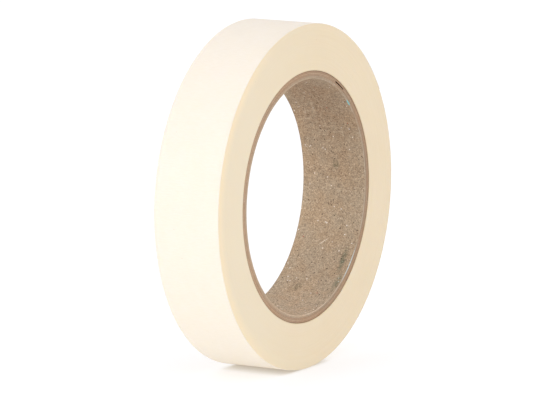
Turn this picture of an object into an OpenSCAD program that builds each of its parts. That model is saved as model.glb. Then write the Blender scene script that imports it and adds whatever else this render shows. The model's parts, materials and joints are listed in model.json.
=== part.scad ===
// Roll of crepe paper masking tape on a spiral-wound board core.
// The roll stands on its tread. Its axis lies along Y, through the origin at
// the centre of the bore. The front face looks towards -Y, and Z is up.
// Places around the roll are clock angles: degrees clockwise from the top,
// as seen from the front.

/* [Core] */
// Diameter of the bore, for a three-inch dispenser hub
core_bore_d = 76.5; // [76.2:0.1:77.2]
// Thickness of the smooth liner ply that faces the bore
inner_liner_t = 0.45; // [0.4:0.05:0.6]
// Thickness of each of the four body plies
body_ply_t = 0.48; // [0.4:0.04:0.6]
// Thickness of the thin liner ply that the tape is wound on
outer_liner_t = 0.23; // [0.2:0.01:0.4]
// Angle between a ply's seam and the core's circumference
seam_angle = 35; // [30:1:45]
// Width of a tight seam, measured square to the seam
tight_seam_w = 0.2; // [0.1:0.05:0.4]
// Width of the one seam that is left open
open_seam_w = 3.1; // [1:0.1:4]
// Clock angle of the open seam's mouth on the front face
open_seam_at = 32; // [0:1:359]

/* [Tape] */
// Width of the tape, which is also the length of the core
tape_w = 23.5; // [18:0.5:30]
// Thickness of the creped paper backing
backing_t = 0.1; // [0.08:0.01:0.12]
// Thickness of the adhesive coat under the backing
adhesive_t = 0.04; // [0.02:0.01:0.06]
// Number of turns wound on the core
turns = 109; // [40:1:140]
// Gap under the outermost turn, so that it only just clears the turns below
turn_gap = 0.005; // [0.003:0.001:0.01]

/* [Free end] */
// Length of the end of the tape that lifts off the roll
free_end_l = 18; // [12:1:24]
// Clock angle of the peel line, where the free end starts to lift
peel_line_at = 40; // [20:1:70]
// Length of the turn below that shows past the free edge
bare_l = 1.5; // [0.5:0.5:3]

/* [Hidden] */

$fn = 180;
full_turn = 360;
quarter_turn = 90;
tool_margin = 1;

tape_t = backing_t + adhesive_t;
bore_r = core_bore_d / 2;
first_ply_r = bore_r + inner_liner_t;
second_ply_r = first_ply_r + body_ply_t;
third_ply_r = second_ply_r + body_ply_t;
fourth_ply_r = third_ply_r + body_ply_t;
outer_liner_r = fourth_ply_r + body_ply_t;
core_r = outer_liner_r + outer_liner_t;
roll_r = core_r + turns * tape_t;
outer_turn_r = roll_r - tape_t + turn_gap;

// The tight seams are staggered around the core, away from the open one
seam_step = 68;
first_seam_at = open_seam_at + 3 * seam_step;

free_end_angle = arc_angle(free_end_l, roll_r);
free_edge_at = peel_line_at + free_end_angle;
outer_turn_start = free_edge_at + arc_angle(bare_l, roll_r);
outer_turn_angle = full_turn + peel_line_at - outer_turn_start;

kraft_liner = [0.71, 0.62, 0.52];
kraft_board = [0.62, 0.52, 0.42];
tape_cream = [0.95, 0.91, 0.82];
adhesive_tan = [0.86, 0.76, 0.56];

// Angle that an arc of the given length spans at the given radius
function arc_angle(length, radius) = length / radius * 180 / PI;

// Angle that a seam turns through from the middle of the core to its end
function seam_lead(radius) = asin(tape_w / 2 / tan(seam_angle) / radius);

// Closed ring about the roll's axis
module ring(inner_r, outer_r) {
    rotate([90, 0, 0])
        difference() {
            cylinder(h = tape_w, r = outer_r, center = true);
            cylinder(h = tape_w + 2 * tool_margin, r = inner_r, center = true);
        }
}

// Part of a ring, from one clock angle on through the angle it spans
module ring_part(inner_r, thickness, start, span) {
    rotate([90, 0, 0])
        rotate([0, 0, quarter_turn - start - span])
            rotate_extrude(angle = span)
                translate([inner_r, -tape_w / 2])
                    square([thickness, tape_w]);
}

// Slanting slab that parts a ply along its seam, on one side of the core only
module seam_cutter(inner_r, outer_r, seam_w) {
    cut_l = tape_w / sin(seam_angle) + 2 * outer_r * sin(seam_lead(outer_r));
    cut_low = inner_r / 2;
    cut_h = outer_r + tool_margin - cut_low;
    rotate([0, 0, seam_angle])
        translate([0, 0, cut_low + cut_h / 2])
            cube([cut_l, seam_w, cut_h], center = true);
}

// One ply of the core: a strip of board bent round, its two ends almost butted.
// seam_at is the clock angle of the seam's mouth on the front face.
module ply(inner_r, thickness, seam_w, seam_at) {
    outer_r = inner_r + thickness;
    difference() {
        ring(inner_r, outer_r);
        rotate([0, seam_at + seam_lead(inner_r + thickness / 2), 0])
            seam_cutter(inner_r, outer_r, seam_w);
    }
}

module core_inner_liner() {
    color(kraft_liner)
        ply(bore_r, inner_liner_t, tight_seam_w, first_seam_at);
}

module core_first_ply() {
    color(kraft_board)
        ply(first_ply_r, body_ply_t, tight_seam_w, open_seam_at - 2 * seam_step);
}

module core_second_ply() {
    color(kraft_board)
        ply(second_ply_r, body_ply_t, tight_seam_w, open_seam_at + 2 * seam_step);
}

module core_third_ply() {
    color(kraft_board)
        ply(third_ply_r, body_ply_t, open_seam_w, open_seam_at);
}

module core_fourth_ply() {
    color(kraft_board)
        ply(fourth_ply_r, body_ply_t, tight_seam_w, open_seam_at - seam_step);
}

module core_outer_liner() {
    color(kraft_liner)
        ply(outer_liner_r, outer_liner_t, tight_seam_w, open_seam_at + seam_step);
}

// All the turns below the outermost one, packed solid
module tape_winding() {
    color(tape_cream)
        ring(core_r, outer_turn_r - turn_gap);
}

// The outermost turn, from past the free edge round to the peel line
module tape_outer_turn() {
    color(tape_cream)
        ring_part(outer_turn_r, tape_t - turn_gap, outer_turn_start, outer_turn_angle);
}

module free_end_backing() {
    color(tape_cream)
        ring_part(roll_r - backing_t, backing_t, peel_line_at, free_end_angle);
}

module free_end_adhesive() {
    color(adhesive_tan)
        ring_part(outer_turn_r, adhesive_t - turn_gap, peel_line_at, free_end_angle);
}

core_inner_liner();
core_first_ply();
core_second_ply();
core_third_ply();
core_fourth_ply();
core_outer_liner();
tape_winding();
tape_outer_turn();
free_end_backing();
free_end_adhesive();
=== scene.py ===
import json
import math

import bpy
import numpy as np
from mathutils import Matrix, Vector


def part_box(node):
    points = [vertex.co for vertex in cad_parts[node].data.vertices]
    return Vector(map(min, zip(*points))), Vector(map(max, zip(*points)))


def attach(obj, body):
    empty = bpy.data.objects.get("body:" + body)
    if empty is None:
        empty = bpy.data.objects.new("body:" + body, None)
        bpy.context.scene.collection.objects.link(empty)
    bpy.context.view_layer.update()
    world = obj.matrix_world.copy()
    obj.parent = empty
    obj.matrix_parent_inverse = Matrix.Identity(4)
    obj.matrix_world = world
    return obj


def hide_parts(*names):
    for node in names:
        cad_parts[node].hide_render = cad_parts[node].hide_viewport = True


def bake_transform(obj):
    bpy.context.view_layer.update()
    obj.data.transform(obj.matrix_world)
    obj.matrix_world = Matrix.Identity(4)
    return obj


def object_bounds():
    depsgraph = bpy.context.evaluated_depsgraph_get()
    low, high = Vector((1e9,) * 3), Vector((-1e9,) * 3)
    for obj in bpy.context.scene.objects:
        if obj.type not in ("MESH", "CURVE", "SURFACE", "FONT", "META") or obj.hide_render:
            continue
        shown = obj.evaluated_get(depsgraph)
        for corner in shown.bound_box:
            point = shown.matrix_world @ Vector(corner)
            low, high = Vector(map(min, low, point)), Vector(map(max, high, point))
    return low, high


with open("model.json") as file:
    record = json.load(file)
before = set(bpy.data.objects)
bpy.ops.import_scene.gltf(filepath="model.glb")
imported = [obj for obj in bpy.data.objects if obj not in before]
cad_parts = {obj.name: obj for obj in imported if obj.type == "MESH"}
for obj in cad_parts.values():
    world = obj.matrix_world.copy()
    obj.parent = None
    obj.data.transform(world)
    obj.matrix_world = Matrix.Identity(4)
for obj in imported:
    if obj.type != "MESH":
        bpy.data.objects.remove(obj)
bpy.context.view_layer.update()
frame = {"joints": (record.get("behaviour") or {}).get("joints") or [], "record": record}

# ---------------------------------------------------------------- sizes
# Lengths are in metres. Clock angles run clockwise from the top, seen from the
# front, and are in radians. The roll's axis lies along Y.
MM = 0.001
TURN = 2 * math.pi


def node_radius(name):
    """Outer radius of a ring-shaped CAD node about the roll's axis."""
    low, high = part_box(name)
    return max(high.x, high.z, -low.x, -low.z)


ROLL_R = node_radius("tape_outer_turn")
CORE_R = node_radius("core_outer_liner")
BORE_R = frame["record"]["mounts"][0]["dims"]["r_mm"] * MM
HALF_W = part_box("tape_winding")[1].y
HINGE = frame["joints"][0]["pos_m"]
PEEL_AT = math.atan2(HINGE[0], HINGE[2])

TAPE_T = 0.14 * MM
BACKING_T = 0.10 * MM
TURNS = round((ROLL_R - CORE_R) / TAPE_T)
FREE_END_L = 18 * MM
FREE_END_ANGLE = FREE_END_L / ROLL_R
BEND_L = 7 * MM

SEAM_SLANT = math.radians(35)
SEAM_STEP = math.radians(68)
OPEN_SEAM_AT = math.radians(32)
OPEN_SEAM_W = 3.1 * MM
TIGHT_SEAM_W = 0.2 * MM


# ---------------------------------------------------------------- noise
def lattice(ix, iy, seed):
    """Repeatable random number from 0 to 1 for each pair of whole numbers."""
    n = ix.astype(np.int64) * 374761393 + iy.astype(np.int64) * 668265263 + seed * 974711
    n = (n ^ (n >> 13)) * 1274126177 & 0xFFFFFFFF
    n = (n ^ (n >> 16)) * 2246822519 & 0xFFFFFFFF
    return ((n ^ (n >> 15)) & 0xFFFFFF) / float(0x1000000)


def noise(x, y, seed):
    """Smooth noise from -1 to 1 that changes over about one unit of x and y."""
    x, y = np.broadcast_arrays(np.asarray(x, float), np.asarray(y, float))
    ix, iy = np.floor(x), np.floor(y)
    fx, fy = x - ix, y - iy
    fx, fy = fx * fx * (3 - 2 * fx), fy * fy * (3 - 2 * fy)
    low = lattice(ix, iy, seed) * (1 - fx) + lattice(ix + 1, iy, seed) * fx
    high = lattice(ix, iy + 1, seed) * (1 - fx) + lattice(ix + 1, iy + 1, seed) * fx
    return 2 * (low * (1 - fy) + high * fy) - 1


# ---------------------------------------------------------------- meshes
CREASE_ANGLE = math.radians(50)
MAP_MARGIN = 0.01        # empty share of the bake map on each side of a row
CAP_ON_MAP = 0.002       # the small cut ends all share this one place on it


def inset(share):
    """Keeps a place from 0 to 1 along a row of the bake map inside the margins."""
    return MAP_MARGIN + (1 - 2 * MAP_MARGIN) * share


def on_roll(angle, radius, across):
    """Points at a clock angle, a radius and a place across the width, as an array."""
    angle, radius, across = np.broadcast_arrays(angle, radius, across)
    return np.stack([radius * np.sin(angle), across, radius * np.cos(angle)], -1)


def loft(name, points, cap, share, bands, strip=None):
    """Mesh through points[column, place round the section]. A section is a closed
    loop. cap lists the faces that close the first section, as places round it. With no
    cap the last column joins the first. share says how much of the bake map each
    stretch of the loop gets, and bands splits the columns into that many rows of it."""
    columns, around = points.shape[:2]
    spans = columns - 1 if cap else columns
    i = np.arange(spans)[:, None]
    k = np.arange(around)[None, :]
    i_next, k_next = (i + 1) % columns, (k + 1) % around
    quads = np.stack(
        [i * around + k, i_next * around + k, i_next * around + k_next, i * around + k_next], -1
    ).reshape(-1, 4)
    faces = quads.tolist()
    far = (columns - 1) * around
    faces += cap + [[far + place for place in face[::-1]] for face in cap]
    mesh = bpy.data.meshes.new(name)
    mesh.from_pydata(points.reshape(-1, 3).tolist(), [], faces)
    mesh.polygons.foreach_set("use_smooth", [True] * len(faces))

    edges = np.concatenate([[0], np.cumsum(share)]) / np.sum(share)
    band = (i * bands // spans) + 0 * k
    along = i * bands / spans - band
    along_next = (i + 1) * bands / spans - band
    low = (band + inset(edges[k])) / bands
    high = (band + inset(edges[k + 1])) / bands
    left, right = inset(along), inset(along_next)
    corners = np.stack([left, low, right, low, right, high, left, high], -1).reshape(-1)
    caps = np.full(4 * sum(len(face) for face in cap), CAP_ON_MAP)
    mesh.uv_layers.new(name="OFBake").data.foreach_set("uv", np.concatenate([corners, caps]))
    if strip is not None:
        attribute = mesh.attributes.new("strip", "FLOAT_VECTOR", "POINT")
        attribute.data.foreach_set("vector", strip.reshape(-1))
    mesh.validate()
    mesh.set_sharp_from_angle(angle=CREASE_ANGLE)
    piece = bpy.data.objects.new(name, mesh)
    bpy.context.scene.collection.objects.link(piece)
    return piece


def finish_piece(piece, material, slot, *nodes):
    """Gives a piece its material and hides the CAD nodes it stands for."""
    piece.data.materials.append(material)
    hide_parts(*nodes)


# ---------------------------------------------------------------- node graphs
def srgb(red, green, blue):
    """Linear colour of an sRGB colour given from 0 to 255."""
    parts = [c / 255 for c in (red, green, blue)]
    return [c / 12.92 if c < 0.04045 else ((c + 0.055) / 1.055) ** 2.4 for c in parts] + [1.0]


class Graph:
    """A material made by short calls. Each call adds one node and returns its output."""

    def __init__(self, name):
        self.material = bpy.data.materials.new(name)
        self.material.use_nodes = True
        self.tree = self.material.node_tree
        self.tree.nodes.clear()
        output = self.tree.nodes.new("ShaderNodeOutputMaterial")
        self.shader = self.tree.nodes.new("ShaderNodeBsdfPrincipled")
        self.tree.links.new(self.shader.outputs[0], output.inputs["Surface"])

    def put(self, socket, value):
        if isinstance(value, bpy.types.NodeSocket):
            self.tree.links.new(value, socket)
        else:
            socket.default_value = value

    def add(self, kind, settings=None, **inputs):
        node = self.tree.nodes.new(kind)
        for key, value in (settings or {}).items():
            setattr(node, key, value)
        for key, value in inputs.items():
            self.put(node.inputs[key.replace("_", " ")], value)
        return node

    def math(self, operation, a, b=0.0, c=0.0):
        node = self.add("ShaderNodeMath", {"operation": operation})
        for socket, value in zip(node.inputs, (a, b, c)):
            self.put(socket, value)
        return node.outputs[0]

    def range(self, value, low, high, to_low=0.0, to_high=1.0):
        node = self.add("ShaderNodeMapRange", {"interpolation_type": "SMOOTHSTEP"}, Value=value)
        for key, number in zip(("From Min", "From Max", "To Min", "To Max"),
                               (low, high, to_low, to_high)):
            self.put(node.inputs[key], number)
        return node.outputs[0]

    def mix(self, factor, a, b, blend="MIX"):
        node = self.add("ShaderNodeMix", {"data_type": "RGBA", "blend_type": blend})
        for index, value in zip((0, 6, 7), (factor, a, b)):
            self.put(node.inputs[index], value)
        return node.outputs[2]

    def scaled(self, vector, x, y, z):
        return self.vector("MULTIPLY", vector, (x, y, z))

    def noise(self, vector, scale, detail=3.0, roughness=0.55, distortion=0.0):
        node = self.add("ShaderNodeTexNoise", Vector=vector, Scale=scale, Detail=detail,
                        Roughness=roughness, Distortion=distortion)
        return node.outputs[0]

    def specks(self, vector, scale, size, keep):
        """Round specks: 1 on a speck. size is a share of the cell, keep a share of cells."""
        node = self.add("ShaderNodeTexVoronoi", Vector=vector, Scale=scale)
        inside = self.range(node.outputs["Distance"], size, size * 0.5)
        pick = self.add("ShaderNodeSeparateColor", Color=node.outputs["Color"]).outputs[0]
        return self.math("MULTIPLY", inside, self.math("LESS_THAN", pick, keep))

    def vector(self, operation, *values):
        node = self.add("ShaderNodeVectorMath", {"operation": operation})
        for socket, value in zip(node.inputs, values):
            self.put(socket, value)
        return node.outputs["Value" if operation == "LENGTH" else "Vector"]

    def spot(self, angle, depth, slant, half_size, soft):
        """An oval mark on the bore, 1 at its middle, in degrees and millimetres. depth
        is from the front face. soft is the share of the oval that fades out."""
        angle, slant = math.radians(angle), math.radians(slant)
        centre = on_roll(angle, BORE_R, -HALF_W + depth * MM)
        turned = Matrix.Rotation(angle, 3, "Y") @ Matrix.Rotation(slant, 3, "Z")
        size = (half_size[0] * MM, half_size[1] * MM, (half_size[0] + 1) * MM)
        local = self.add("ShaderNodeMapping", {"vector_type": "TEXTURE"}, Vector=self.place(),
                         Location=tuple(centre), Rotation=tuple(turned.to_euler()), Scale=size)
        return self.range(self.vector("LENGTH", local.outputs[0]), 1.0, 1.0 - soft)

    def bump(self, height, distance, strength):
        node = self.add("ShaderNodeBump", Height=height, Distance=distance, Strength=strength)
        return node.outputs[0]

    def place(self):
        return self.add("ShaderNodeTexCoord").outputs["Object"]

    def axis(self, place, name):
        """One coordinate of a place: X, Y or Z."""
        return self.add("ShaderNodeSeparateXYZ", Vector=place).outputs[name]

    def rings(self, place, radius, along, across, roughness):
        """Noise drawn out round the roll's axis. along and across are its scales."""
        round_axis = self.vector("NORMALIZE", self.scaled(place, 1, 0, 1))
        outward = self.add("ShaderNodeCombineXYZ", X=self.math("MULTIPLY", radius, across))
        polar = self.vector("MULTIPLY_ADD", round_axis, (along,) * 3, outward.outputs[0])
        return self.noise(polar, 1.0, 3.0, roughness)

    def radius(self):
        """Distance from the roll's axis."""
        return self.vector("LENGTH", self.scaled(self.place(), 1, 0, 1))

    def surface(self, colour, roughness, normal, subsurface=0.0, radius=(1, 1, 1)):
        self.put(self.shader.inputs["Base Color"], colour)
        self.put(self.shader.inputs["Roughness"], roughness)
        self.put(self.shader.inputs["Normal"], normal)
        self.put(self.shader.inputs["Specular IOR Level"], 0.3)
        self.put(self.shader.inputs["Subsurface Weight"], subsurface)
        self.put(self.shader.inputs["Subsurface Radius"], radius)
        self.put(self.shader.inputs["Subsurface Scale"], 0.5 * MM)
        return self.material


# ---------------------------------------------------------------- materials
def crepe_paper():
    """The creped back of the tape: fine ridges with painted shade in their valleys, paper fibre
    and faint clouds.
    """
    g = Graph("crepe_paper")
    strip = g.add("ShaderNodeAttribute", {"attribute_name": "strip"}).outputs["Vector"]
    ridges = g.noise(g.scaled(strip, 2600, 420, 1), 1.0, 3.0, 0.6, 0.6)
    fibre = g.noise(g.scaled(strip, 5200, 7400, 1), 1.0, 4.0, 0.7)
    cloud = g.noise(g.scaled(strip, 90, 160, 1), 1.0, 4.0, 0.6)
    valley_shade = g.range(ridges, 0.62, 0.36)
    # Painted shade: the valleys between the crepe ridges are painted darker and more yellow.
    shade = g.mix(g.math("MULTIPLY", valley_shade, 0.18), srgb(242, 230, 213), srgb(234, 218, 193))
    shade = g.mix(g.range(cloud, 0.35, 0.7, 0.0, 0.12), shade, srgb(235, 219, 193))
    shade = g.mix(g.range(fibre, 0.55, 0.8, 0.0, 0.15), shade, srgb(246, 239, 225))
    fleck = g.specks(strip, 420, 0.10, 0.05)
    shade = g.mix(g.math("MULTIPLY", fleck, 0.25), shade, srgb(178, 150, 108))
    roughness = g.range(g.math("ADD", ridges, fibre), 0.7, 1.4, 0.82, 0.64)
    height = g.math("ADD", ridges, g.math("MULTIPLY", fibre, 0.35))
    return g.surface(shade, roughness, g.bump(height, 0.05 * MM, 0.4), 0.25, (1.0, 0.8, 0.5))


def cut_tape():
    """The sides of the winding, where the knife cut through every turn. Painted light makes
    the left half paler, with a warmer band and rim line near the outside.
    """
    g = Graph("cut_tape")
    place, radius = g.place(), g.radius()
    layers = g.rings(place, radius, 2.6, 2300.0, 0.75)
    lines = g.noise(g.add("ShaderNodeCombineXYZ", X=radius).outputs[0], 900.0, 3.0, 0.8)
    grain = g.noise(place, 4200.0, 3.0, 0.7)
    cloud = g.noise(place, 70.0, 3.0, 0.55)
    shade = g.mix(g.range(layers, 0.3, 0.7), srgb(228, 210, 178), srgb(231, 214, 185))
    shade = g.mix(g.range(lines, 0.38, 0.66, 0.0, 0.1), shade, srgb(236, 221, 193))
    shade = g.mix(g.range(grain, 0.5, 0.8, 0.0, 0.15), shade, srgb(238, 223, 197))
    shade = g.mix(g.range(cloud, 0.4, 0.7, 0.0, 0.25), shade, srgb(226, 207, 173))
    outside = g.range(radius, ROLL_R - 0.6 * MM, ROLL_R - 0.1 * MM)
    side = g.axis(place, "X")
    # Painted light: the left half of the face is painted paler, as if lit from that side.
    shade = g.mix(g.range(side, 0.015, -0.045, 0.0, 0.6), shade, srgb(232, 219, 193))
    # Painted light: a lighter, warmer band inside the rim, on the left half only.
    band = g.range(radius, ROLL_R - 4.5 * MM, ROLL_R - 0.8 * MM)
    band = g.math("MULTIPLY", band, g.range(side, -0.01, -0.045, 0.0, 0.65))
    shade = g.mix(band, shade, srgb(245, 224, 187))
    # The warm rim line is partly the tape's own cut edge and partly a painted highlight,
    # stronger on the left.
    outside = g.math("MULTIPLY", outside, g.range(side, 0.01, -0.045, 0.2, 0.7))
    shade = g.mix(outside, shade, srgb(247, 221, 172))
    inside = g.range(radius, CORE_R + 0.5 * MM, CORE_R, 0.0, 0.5)
    shade = g.mix(inside, shade, srgb(206, 182, 144))
    fleck = g.specks(place, 520, 0.09, 0.05)
    shade = g.mix(g.math("MULTIPLY", fleck, 0.4), shade, srgb(160, 132, 96))
    roughness = g.range(layers, 0.3, 0.7, 0.5, 0.68)
    height = g.math("ADD", layers, g.math("MULTIPLY", grain, 0.5))
    return g.surface(shade, roughness, g.bump(height, 0.06 * MM, 0.5), 0.3, (1.0, 0.75, 0.4))


def kraft(name, tone, glue_lines=()):
    """Recycled kraft board of a colour, tone. The faces inside the core's wall are painted
    dark as shade, which shows in the open seam; the lines between the plies, at the
    radii in glue_lines, are dark with glue."""
    g = Graph(name)
    place, radius = g.place(), g.radius()
    depth = g.math("ABSOLUTE", g.axis(place, "Y"))
    dark = [0.52 * c for c in tone[:3]] + [1.0]
    light = [min(1.0, 1.42 * c) for c in tone[:3]] + [1.0]
    warm = [k * c for k, c in zip((1.02, 0.97, 0.91), tone)] + [1.0]
    grey = [k * c for k, c in zip((0.97, 1.0, 1.02), tone)] + [1.0]
    cloud = g.noise(place, 130.0, 4.0, 0.6)
    patch = g.noise(place, 520.0, 3.0, 0.6, 0.3)
    pulp = g.noise(place, 2000.0, 2.0, 0.8, 0.4)
    base = g.mix(g.range(cloud, 0.36, 0.62), warm, grey)
    shade = g.mix(g.range(pulp, 0.34, 0.5, 0.75, 0.0), base, dark)
    shade = g.mix(g.range(pulp, 0.5, 0.66, 0.0, 0.75), shade, light)
    shade = g.mix(g.range(patch, 0.52, 0.7, 0.0, 0.15), shade, light)
    shade = g.mix(g.range(patch, 0.46, 0.3, 0.0, 0.15), shade, dark)
    shade = kraft_fibres(g, shade, place, dark, light)
    sawn = sawn_end(g, base, place, radius, dark, light, glue_lines)
    shade = g.mix(g.range(depth, HALF_W - 0.25 * MM, HALF_W - 0.12 * MM, 0.0, 0.8), shade, sawn)
    if glue_lines:
        # Painted shade: faces from 0.25 mm inside the side faces turn near black, for the shade
        # in the open seam.
        painted_slot_shade = g.range(depth, HALF_W - 0.25 * MM, HALF_W - 0.6 * MM, 0.0, 0.92)
        shade = g.mix(painted_slot_shade, shade, srgb(46, 32, 23))
    else:
        shade = bore_marks(g, shade, place, depth, radius)
    roughness = g.range(pulp, 0.3, 0.7, 0.92, 0.74)
    height = g.math("ADD", pulp, g.math("MULTIPLY", patch, 0.6))
    return g.surface(shade, roughness, g.bump(height, 0.10 * MM, 0.5))


def kraft_fibres(g, shade, place, dark, light):
    """Short fibres that lie three ways, and specks: dark, pale, blue and red."""
    for turn, (fibre_tone, weight) in enumerate(((light, 0.45), (dark, 0.5), (light, 0.45))):
        spun = g.add("ShaderNodeMapping", Vector=place, Scale=(1.0, 3.4, 3.4),
                     Rotation=(0.9 * turn, 1.7 * turn, 0.6 + 1.1 * turn))
        fibre = g.specks(spun.outputs[0], 700.0, 0.20, 0.3)
        shade = g.mix(g.math("MULTIPLY", fibre, weight), shade, fibre_tone)
    for scale, size, keep, speck_tone, weight in (
        (1500.0, 0.36, 0.4, srgb(104, 78, 58), 0.65),
        (1450.0, 0.34, 0.35, srgb(226, 208, 184), 0.55),
        (700.0, 0.19, 0.45, srgb(52, 38, 28), 0.95),
        (680.0, 0.17, 0.22, srgb(252, 248, 240), 0.95),
        (330.0, 0.08, 0.25, srgb(60, 80, 130), 0.8),
        (310.0, 0.08, 0.25, srgb(196, 62, 42), 0.8),
    ):
        speck = g.specks(place, scale, size, keep)
        shade = g.mix(g.math("MULTIPLY", speck, weight), shade, speck_tone)
    return shade


def sawn_end(g, base, place, radius, dark, light, glue_lines):
    """A ply's cut end: plainer, with fine rings of layers, and painted paler on the left as if
    lit from that side.
    """
    layers = g.rings(place, radius, 9.0, 6500.0, 0.7)
    sawn = g.mix(g.range(layers, 0.32, 0.52, 0.35, 0.0), base, dark)
    sawn = g.mix(g.range(layers, 0.5, 0.68, 0.0, 0.3), sawn, light)
    # Painted light: the cut end is painted paler towards the left.
    sawn = g.mix(g.range(g.axis(place, "X"), 0.045, -0.045, 0.0, 0.62), sawn, light)
    for line in glue_lines:
        away = g.math("ABSOLUTE", g.math("SUBTRACT", radius, line))
        sawn = g.mix(g.range(away, 0.12 * MM, 0.02 * MM, 0.0, 0.5), sawn, dark)
    return sawn


def bore_marks(g, shade, place, depth, radius):
    """Marks on the liner: a pale cut edge, smudges that tint it, scratches and flecks, and
    painted light: the lower bore painted lighter and its top painted darker as shade.
    """
    edge = g.range(depth, HALF_W - 0.2 * MM, HALF_W - 0.08 * MM, 0.0, 0.6)
    rim = g.range(radius, BORE_R + 0.28 * MM, BORE_R + 0.1 * MM)
    worn = g.range(g.noise(place, 60.0, 3.0), 0.42, 0.62, 0.1, 1.0)
    pale = g.math("MULTIPLY", g.math("MULTIPLY", edge, rim), worn)
    shade = g.mix(pale, shade, srgb(208, 192, 176))
    broken = g.range(g.noise(place, 900.0, 3.0, 0.7), 0.36, 0.58, 0.25, 1.0)
    for angle, down, slant, half_size, tint in (
        # Painted light: the first row lightens the lower bore, the second paints shade over its
        # top.
        (180, 7.0, 0, (36.0, 24.0), (1.3, 1.28, 1.27, 1.0)),
        (42, 13.0, 0, (48.0, 28.0), srgb(220, 209, 201)),
        (131, 3.0, 0, (7.5, 1.5), srgb(152, 180, 176)),
        (145, 1.4, 0, (6.5, 1.6), srgb(176, 198, 194)),
        (151, 14.6, 20, (3.6, 2.4), srgb(206, 210, 202)),
        (83, 10.9, 0, (2.2, 2.0), srgb(170, 188, 184)),
    ):
        smudge_and_painted_light = g.math("MULTIPLY", g.spot(angle, down, slant, half_size, 1.0), broken)
        shade = g.mix(smudge_and_painted_light, shade, tint, "MULTIPLY")
    for angle, down, slant, half_size, soft, tone in (
        (122, 12.4, 50, (2.6, 0.16), 0.6, srgb(232, 220, 202)),
        (25, 3.3, 80, (1.2, 0.14), 0.6, srgb(60, 46, 36)),
        (133, 0.05, 0, (9.5, 0.16), 0.7, srgb(204, 222, 224)),
        (44.5, 0.08, 0, (1.7, 0.2), 0.5, srgb(122, 196, 198)),
    ):
        scratch = g.math("MULTIPLY", g.spot(angle, down, slant, half_size, soft), 0.9)
        shade = g.mix(scratch, shade, tone)
    return shade


def sticky_coat():
    """The adhesive under the backing: tan, smooth and a little shiny."""
    g = Graph("sticky_coat")
    strip = g.add("ShaderNodeAttribute", {"attribute_name": "strip"}).outputs["Vector"]
    ridges = g.noise(g.scaled(strip, 2200, 380, 1), 1.0, 2.0, 0.5, 0.5)
    cloud = g.noise(g.scaled(strip, 220, 260, 1), 1.0, 4.0, 0.6)
    shade = g.mix(g.range(ridges, 0.35, 0.65), srgb(232, 212, 176), srgb(240, 225, 196))
    shade = g.mix(g.range(cloud, 0.4, 0.7, 0.0, 0.3), shade, srgb(226, 203, 164))
    roughness = g.range(cloud, 0.35, 0.7, 0.42, 0.24)
    return g.surface(shade, roughness, g.bump(ridges, 0.05 * MM, 0.5), 0.3, (1.0, 0.8, 0.4))


# ---------------------------------------------------------------- tape pieces
CREPE_PITCH = 0.55 * MM
CREPE_DEPTH = 0.035 * MM
TAPE_ROWS = 20
COLUMN_STEP = 0.147 * MM
CORNER = 0.03 * MM
TIP_LIFT = 0.1 * MM


def crepe_depth(along, across):
    """How far the creped surface lies below its ridges, by place on the strip."""
    wander = 0.45 * MM * noise(along / (2.4 * MM), across / (3.2 * MM), 11)
    wander = wander + 0.14 * MM * noise(along / (0.8 * MM), across / (0.9 * MM), 12)
    ridge = 0.5 + 0.5 * np.cos(TURN * (along + wander) / CREPE_PITCH)
    strength = 0.6 + 0.4 * noise(along / (1.7 * MM), across / (2.1 * MM), 13)
    sag = 0.2 * CREPE_DEPTH * (1 + noise(along / (9 * MM), across / (7 * MM), 14))
    return CREPE_DEPTH * strength * ridge + sag


def tape_layer(name, start, span, outside, thickness, creped):
    """A stretch of tape, or of one of its coats, bent round the roll from one clock
    angle on. outside(angle from start) gives its outer radius."""
    columns = max(2, round(span * ROLL_R / COLUMN_STEP)) + 1
    angle = np.linspace(0, span, columns)[:, None]
    top = np.linspace(-HALF_W + CORNER, HALF_W - CORNER, TAPE_ROWS + 1)
    across = np.concatenate([[-HALF_W], top, [HALF_W, HALF_W, -HALF_W]])
    depth = np.zeros((columns, len(across)))
    along = (start - PEEL_AT + angle) * ROLL_R
    if creped:
        depth[:, 1:TAPE_ROWS + 2] = crepe_depth(along, top[None, :])
    depth[:, 0] = depth[:, 1] + CORNER
    depth[:, TAPE_ROWS + 2] = depth[:, TAPE_ROWS + 1] + CORNER
    depth[:, TAPE_ROWS + 3:] = thickness
    points = on_roll(start + angle, outside(angle) - depth, across[None, :])
    strip = np.stack(np.broadcast_arrays(along, across[None, :], depth), -1)
    upper, lower = (1.0, 0.6) if creped else (0.1, 12.0)
    share = [0.3] + [upper] * TAPE_ROWS + [0.3, 0.3, lower, 0.3]
    bands = 5 if span > math.pi else 1
    return loft(name, points, [list(range(len(across)))], share, bands, strip)


def outer_turn_radius(angle):
    """The outermost turn climbs by one tape thickness, from under the free end on."""
    climb = np.clip((angle - FREE_END_ANGLE) / (TURN - FREE_END_ANGLE), 0, 1)
    return ROLL_R - TAPE_T + TAPE_T * climb


def make_outer_turn(paper):
    piece = tape_layer("tape_outer_turn_skin", PEEL_AT, TURN, outer_turn_radius, TAPE_T, True)
    finish_piece(piece, paper, "crepe_tape", "tape_outer_turn")
    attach(piece, "roll")


def free_end_radius(angle):
    """The free end lies flat but for its tip, which has lifted a little."""
    tip = np.clip((angle / FREE_END_ANGLE - 0.7) / 0.3, 0, 1)
    return ROLL_R + TIP_LIFT * tip * tip


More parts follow.
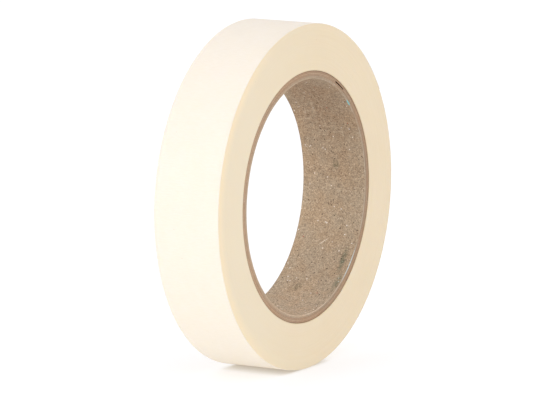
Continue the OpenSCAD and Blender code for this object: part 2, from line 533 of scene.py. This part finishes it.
def make_free_end(paper, adhesive):
    start = PEEL_AT + TURN
    backing = tape_layer("free_end_paper", start, FREE_END_ANGLE, free_end_radius,
                         BACKING_T, True)
    coat = tape_layer("free_end_coat", start, FREE_END_ANGLE,
                      lambda angle: free_end_radius(angle) - BACKING_T,
                      TAPE_T - BACKING_T, False)
    finish_piece(backing, paper, "crepe_tape", "free_end_backing")
    finish_piece(coat, adhesive, "adhesive", "free_end_adhesive")
    bend_end = on_roll(PEEL_AT, ROLL_R, 0.0) + BEND_L * np.array(
        [math.cos(PEEL_AT), 0, -math.sin(PEEL_AT)])
    for piece in (backing, coat):
        tuple(on_roll(PEEL_AT, ROLL_R, 0.0))
        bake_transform(piece)


WINDING_COLUMNS = 400
HAIR_GAP = 0.002 * MM


def make_winding(edge):
    """All the lower turns. Each turn has its own ring of points on both sides."""
    tiny = 1e-5
    angle = np.linspace(tiny, TURN - tiny, WINDING_COLUMNS)[:, None]
    outside = outer_turn_radius(angle) - TAPE_T - HAIR_GAP
    turn = np.arange(TURNS + 1)[None, :] / TURNS
    radius = CORE_R + (outside - CORE_R) * turn
    place = on_roll(PEEL_AT + angle, radius, 0.0)
    ring = noise(turn * 41, 0.0, 21) + 0.7 * noise(turn * TURNS * 0.9, 0.0, 22)
    sides = []
    for seed in (31, 32):
        swell = noise(place[..., 0] / (11 * MM), place[..., 2] / (11 * MM), seed)
        nick = noise(place[..., 0] / (1.3 * MM), place[..., 2] / (1.3 * MM), seed + 10)
        low = 0.030 + 0.012 * np.roll(ring, seed) + 0.012 * swell + 0.006 * nick
        sides.append(HALF_W - low * MM)
    front, back = place.copy(), place.copy()
    front[..., 1], back[..., 1] = -sides[0], sides[1]
    points = np.concatenate([front, back[:, ::-1]], 1)
    share = [1.0] * TURNS + [6.0] + [1.0] * TURNS + [6.0]
    piece = loft("tape_winding_turns", points, [], share, 2)
    finish_piece(piece, edge, "crepe_tape", "tape_winding")
    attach(piece, "roll")


# ---------------------------------------------------------------- core pieces
EDGE_STEPS = 5
PLY_COLUMNS = 420
PLY_ROWS = 22
EDGE_ROUND = 0.09 * MM


def ply_cap(rows):
    """Faces that close a ply's cut end: one for each row, from the front to the back."""
    back = EDGE_STEPS + rows
    outer = list(range(EDGE_STEPS, back + 1))
    inner = [0] + list(range(back + EDGE_STEPS + rows - 1, back + EDGE_STEPS - 1, -1))
    cap = [[inner[j], outer[j], outer[j + 1], inner[j + 1]] for j in range(1, rows - 1)]
    cap.append(outer[1:2] + inner[1:2] + list(range(EDGE_STEPS + 1)))
    cap.append(inner[-2:-1] + outer[-2:-1] + list(range(back, back + EDGE_STEPS + 1)))
    return cap


def make_ply(name, inner, outer, seam_w, seam_at, material, slot, bore_share, recess, seed):
    """One ply: a strip of board bent round, with slanting ends that almost meet.
    bore_share is how much of the bake map the side towards the bore gets."""
    rows = PLY_ROWS
    middle = (inner + outer) / 2
    centre = seam_at + math.asin(HALF_W / math.tan(SEAM_SLANT) / middle)
    t = np.linspace(0, 1, EDGE_STEPS + 1)
    end_y = HALF_W - EDGE_ROUND * (2 * t - 1) ** 4
    end_r = inner + (outer - inner) * t
    wall = np.linspace(-HALF_W, HALF_W, rows + 1)[1:-1]
    across = np.concatenate([-end_y, wall, end_y[::-1], wall[::-1]])
    radius = np.concatenate([end_r, 0 * wall + outer, end_r[::-1], 0 * wall + inner])
    at_end = np.abs(across) > wall[-1] + MM / 2
    at_bore = ~at_end & (radius < middle)
    reach = seam_w / (2 * math.sin(SEAM_SLANT))
    offset = across / math.tan(SEAM_SLANT)
    begin = centre + np.arcsin((offset + reach) / middle)
    finish = centre + TURN + np.arcsin((offset - reach) / middle)
    angle = begin + (finish - begin) * np.linspace(0, 1, PLY_COLUMNS)[:, None]
    arc = angle * middle
    rough = 0.5 + 0.5 * noise(arc / (0.9 * MM), radius / (0.25 * MM), seed)
    coarse = 0.5 + 0.5 * noise(arc / (7 * MM), 0.0, seed + 1)
    sag = 1 + noise(arc / (6 * MM), across / (5 * MM), seed + 2)
    inward = at_end * (recess + 0.05 * rough + 0.05 * coarse) * MM
    points = on_roll(angle, radius + at_bore * 0.015 * MM * sag,
                     across - np.sign(across) * inward)
    share = [0.6] * EDGE_STEPS + [0.1] * rows + [0.6] * EDGE_STEPS + [bore_share / rows] * rows
    piece = loft(name, points, ply_cap(rows), share, 3)
    finish_piece(piece, material, slot, name.replace("_board", ""))
    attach(piece, "roll")


# From the bore outwards: name, colour, steps of its seam round the core from the open
# seam, and how far its cut ends stand back from the side faces in mm
PLIES = (
    ("core_inner_liner", srgb(175, 154, 129), 3, 0.02),
    ("core_first_ply", srgb(172, 149, 126), -2, 0.07),
    ("core_second_ply", srgb(168, 140, 114), 2, 0.03),
    ("core_third_ply", srgb(176, 148, 122), 0, 0.06),
    ("core_fourth_ply", srgb(169, 140, 114), -1, 0.05),
    ("core_outer_liner", srgb(150, 120, 95), 1, 0.09),
)


def make_core():
    """The six plies. The bore's face gets most of the innermost ply's bake map."""
    glue_lines = [node_radius(ply[0]) for ply in PLIES[:-1]]
    inner = BORE_R
    for index, (name, tone, step, recess) in enumerate(PLIES):
        innermost = index == 0
        material = kraft(name + "_kraft", tone, () if innermost else glue_lines)
        seam_w = TIGHT_SEAM_W if step else OPEN_SEAM_W
        slot = "kraft_liner" if name.endswith("liner") else "kraft_board"
        make_ply(name + "_board", inner, node_radius(name), seam_w,
                 OPEN_SEAM_AT + step * SEAM_STEP, material, slot,
                 24.0 if innermost else 1.0, recess, 50 + 5 * index)
        inner = node_radius(name)


# ---------------------------------------------------------------- stage
CAMERA_AZIMUTH = math.radians(-59.85)
CAMERA_ELEVATION = math.radians(9.28)
CAMERA_DISTANCE = 1.6948
CAMERA_LENS = 343.6
AIM_RIGHT = -0.21 * MM
AIM_DOWN = 3.64 * MM


def make_camera():
    """A long lens far off, level, a little above the roll and to its left."""
    data = bpy.data.cameras.new("camera")
    camera = bpy.data.objects.new("camera", data)
    bpy.context.scene.collection.objects.link(camera)
    a, e = CAMERA_AZIMUTH, CAMERA_ELEVATION
    back = np.array([math.sin(a) * math.cos(e), -math.cos(a) * math.cos(e), math.sin(e)])
    right = np.array([math.cos(a), math.sin(a), 0.0])
    up = np.cross(back, right)
    low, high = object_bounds()
    centre = np.array((low + high) / 2)
    camera.location = centre + CAMERA_DISTANCE * back + AIM_RIGHT * right - AIM_DOWN * up
    camera.rotation_euler = (math.pi / 2 - e, 0, a)
    data.lens = CAMERA_LENS
    data.sensor_width = 36
    data.clip_start = 0.01
    data.clip_end = 100
    bpy.context.scene.camera = camera


FLOOR_R = 30.0
FLOOR_SIDES = 96
FLOOR_GLOW = 0.50
CONTACT_REACH = 2.5 * MM


def make_floor():
    """A wide pale disc under the roll, lit a little from below like a light table. It has a
    painted contact shadow: it is darker where something stands within CONTACT_REACH of it."""
    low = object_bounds()[0].z
    angle = np.linspace(0, TURN, FLOOR_SIDES, endpoint=False)
    ring = [(FLOOR_R * math.sin(a), FLOOR_R * math.cos(a), low) for a in angle]
    mesh = bpy.data.meshes.new("floor")
    mesh.from_pydata(ring, [], [list(range(len(ring)))[::-1]])
    floor = bpy.data.objects.new("floor", mesh)
    bpy.context.scene.collection.objects.link(floor)
    g = Graph("floor")
    soft = g.noise(g.place(), 3.0, 2.0)
    shade = g.mix(soft, srgb(192, 192, 192), srgb(189, 189, 189))
    # Painted contact shadow: an ambient occlusion node darkens the floor's colour and glow near
    # the roll.
    gap = g.add("ShaderNodeAmbientOcclusion", Distance=CONTACT_REACH)
    open_share = g.math("POWER", gap.outputs["AO"], 0.6)
    tint = g.mix(open_share, srgb(214, 205, 190), srgb(255, 255, 255))
    g.put(g.shader.inputs["Base Color"], g.mix(1.0, shade, tint, "MULTIPLY"))
    g.put(g.shader.inputs["Roughness"], 0.9)
    g.put(g.shader.inputs["Emission Color"], tint)
    g.put(g.shader.inputs["Emission Strength"], FLOOR_GLOW)
    mesh.materials.append(g.material)


def make_light(name, azimuth, elevation, distance, size, power):
    """A square softbox that faces the roll."""
    data = bpy.data.lights.new(name, "AREA")
    data.shape = "SQUARE"
    data.size = size
    data.energy = power
    lamp = bpy.data.objects.new(name, data)
    bpy.context.scene.collection.objects.link(lamp)
    a, e = math.radians(azimuth), math.radians(elevation)
    lamp.location = (distance * math.sin(a) * math.cos(e), -distance * math.cos(a) * math.cos(e),
                     distance * math.sin(e))
    lamp.rotation_euler = (math.pi / 2 - e, 0, a)


WALL_GLOW = 1.0
CEILING_GLOW = 0.96


def make_lights():
    """A white room with a dimmer, cooler ceiling, a low softbox on the left and a weak
    one in front."""
    world = bpy.data.worlds.new("world")
    world.use_nodes = True
    tree = world.node_tree
    background = tree.nodes["Background"]
    direction = tree.nodes.new("ShaderNodeTexCoord")
    split = tree.nodes.new("ShaderNodeSeparateXYZ")
    ceiling = tree.nodes.new("ShaderNodeMapRange")
    tint = tree.nodes.new("ShaderNodeMix")
    tint.data_type = "RGBA"
    tree.links.new(direction.outputs["Generated"], split.inputs[0])
    tree.links.new(split.outputs["Z"], ceiling.inputs["Value"])
    tree.links.new(ceiling.outputs[0], tint.inputs[0])
    tree.links.new(tint.outputs[2], background.inputs["Color"])
    ceiling.inputs["From Min"].default_value = 0.15
    ceiling.inputs["From Max"].default_value = 0.8
    tint.inputs[6].default_value = (WALL_GLOW, WALL_GLOW, WALL_GLOW, 1)
    tint.inputs[7].default_value = (CEILING_GLOW, CEILING_GLOW, 1.06 * CEILING_GLOW, 1)
    bpy.context.scene.world = world
    make_light("key", -104, 8, 1.6, 1.0, 8.6)
    make_light("front", -28, 30, 1.6, 1.0, 1.9)
    view = bpy.context.scene.view_settings
    view.view_transform = "Standard"
    view.look = "None"
    view.exposure = 0
    view.gamma = 1


# ---------------------------------------------------------------- the roll
make_camera()
make_lights()
paper = crepe_paper()
make_winding(cut_tape())
make_outer_turn(paper)
make_free_end(paper, sticky_coat())
make_core()
make_floor()
